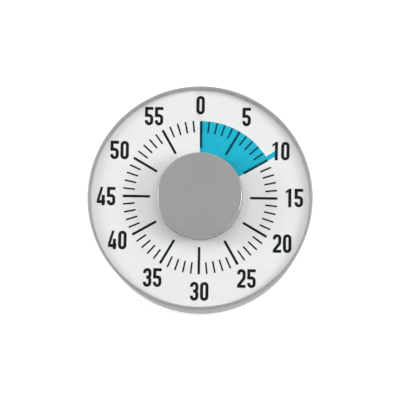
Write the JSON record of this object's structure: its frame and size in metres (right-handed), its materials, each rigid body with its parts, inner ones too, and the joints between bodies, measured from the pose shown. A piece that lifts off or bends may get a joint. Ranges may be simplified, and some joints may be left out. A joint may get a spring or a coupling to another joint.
{
  "type": "visual countdown timer",
  "caption": "Round clockwork countdown timer with a clear lens, a grey centre knob and a coloured sector that shrinks back to zero as time runs out.",
  "frame": {"origin": "centre of the back face, which lies on the surface", "axes": "+Z is the way the face looks, +Y points to 0 at the top of the dial, +X points to 15"},
  "size_m": [0.098, 0.098, 0.0448],
  "materials": {
    "case_plastic": "satin light grey ABS, faint moulding streaks down the drum",
    "lens_clear": "clear polycarbonate sheet, gloss, minute scale printed on it",
    "dial_white": "matt white",
    "disc_film": "coloured film, cyan blue",
    "knob_plastic": "satin mid grey ABS",
    "hub_plastic": "white acetal",
    "zinc_steel": "bright zinc plate",
    "cut_steel": "turned steel",
    "plate_brass": "stamped brass",
    "spring_steel": "blued spring strip",
    "bell_chrome": "nickel-plated steel",
    "magnet_nickel": "nickel-plated magnet"
  },
  "bodies": {
    "case": {"front_housing": "case_plastic", "rear_cover": "case_plastic", "case_screws": "zinc_steel", "magnets": "magnet_nickel", "lens": "lens_clear", "dial": "dial_white", "movement_front_plate": "plate_brass", "movement_back_plate": "plate_brass", "movement_screws": "zinc_steel", "plate_pillars": "cut_steel", "pillar_nuts": "zinc_steel", "mainspring": "spring_steel", "spring_post": "zinc_steel", "bell": "bell_chrome", "bell_post": "zinc_steel", "bell_nut": "zinc_steel", "hammer_spring": "spring_steel"},
    "knob": {"knob": "knob_plastic", "main_arbor": "cut_steel", "ratchet_wheel": "cut_steel", "alarm_cam": "plate_brass"},
    "time_disc": {"time_disc": "disc_film", "disc_hub": "hub_plastic"},
    "great_wheel": {"great_wheel": "plate_brass", "click_rivet": "zinc_steel", "click_spring": "spring_steel"},
    "click": {"click": "cut_steel"},
    "second_arbor": {"second_pinion": "cut_steel", "second_wheel": "plate_brass"},
    "third_arbor": {"third_pinion": "cut_steel", "third_wheel": "plate_brass"},
    "escape_arbor": {"escape_pinion": "cut_steel", "escape_wheel": "plate_brass"},
    "verge": {"verge_arbor": "cut_steel", "pallet_verge": "plate_brass", "balance_bar": "plate_brass"},
    "hammer": {"hammer_arbor": "cut_steel", "hammer_tail": "zinc_steel", "hammer_arm": "zinc_steel", "hammer_head": "plate_brass"}
  },
  "joints": [
    {"name": "knob_turn", "type": "hinge", "parent": "case", "child": "knob", "pos_m": [0, 0, 0.036], "axis": [0, 0, -1], "range_deg": [-60, 300]},
    {"name": "disc_climb", "type": "slide", "parent": "knob", "child": "time_disc", "axis": [0, 0, 1], "range_m": [-0.00025, 0.00125]},
    {"name": "great_wheel_turn", "type": "hinge", "parent": "case", "child": "great_wheel", "pos_m": [0, 0, 0.0177], "axis": [0, 0, -1], "range_deg": [-60, 300]},
    {"name": "click_lift", "type": "hinge", "parent": "great_wheel", "child": "click", "pos_m": [0.0089, 0.00647, 0.0189], "axis": [0, 0, 1], "range_deg": [0, 8], "stiffness_Nm_per_rad": 0.001, "springref_deg": -11.46, "deforming": ["click_spring"]},
    {"name": "second_arbor_turn", "type": "hinge", "parent": "case", "child": "second_arbor", "pos_m": [0, -0.018, 0.0177], "axis": [0, 0, -1], "continuous": true},
    {"name": "third_arbor_turn", "type": "hinge", "parent": "case", "child": "third_arbor", "pos_m": [-0.01325, -0.01494, 0.0221], "axis": [0, 0, -1], "continuous": true},
    {"name": "escape_arbor_turn", "type": "hinge", "parent": "case", "child": "escape_arbor", "pos_m": [-0.02074, -0.00569, 0.0135], "axis": [0, 0, -1], "continuous": true},
    {"name": "verge_rock", "type": "hinge", "parent": "case", "child": "verge", "pos_m": [-0.02354, 0.00201, 0.0148], "axis": [0, 0, -1], "range_deg": [-3, 3]},
    {"name": "hammer_lift", "type": "hinge", "parent": "case", "child": "hammer", "pos_m": [0.02078, 0.012, 0.0049], "axis": [0, 0, -1], "range_deg": [0, 8], "stiffness_Nm_per_rad": 0.004, "springref_deg": -11.46, "deforming": ["hammer_spring"]}
  ],
  "couplings": [
    {"joint": "disc_climb", "follows": "knob_turn", "m_per_rad": 0.00023873},
    {"joint": "great_wheel_turn", "follows": "knob_turn", "ratio": 1},
    {"joint": "second_arbor_turn", "follows": "knob_turn", "ratio": -8},
    {"joint": "third_arbor_turn", "follows": "knob_turn", "ratio": 60},
    {"joint": "escape_arbor_turn", "follows": "knob_turn", "ratio": -450}
  ]
}
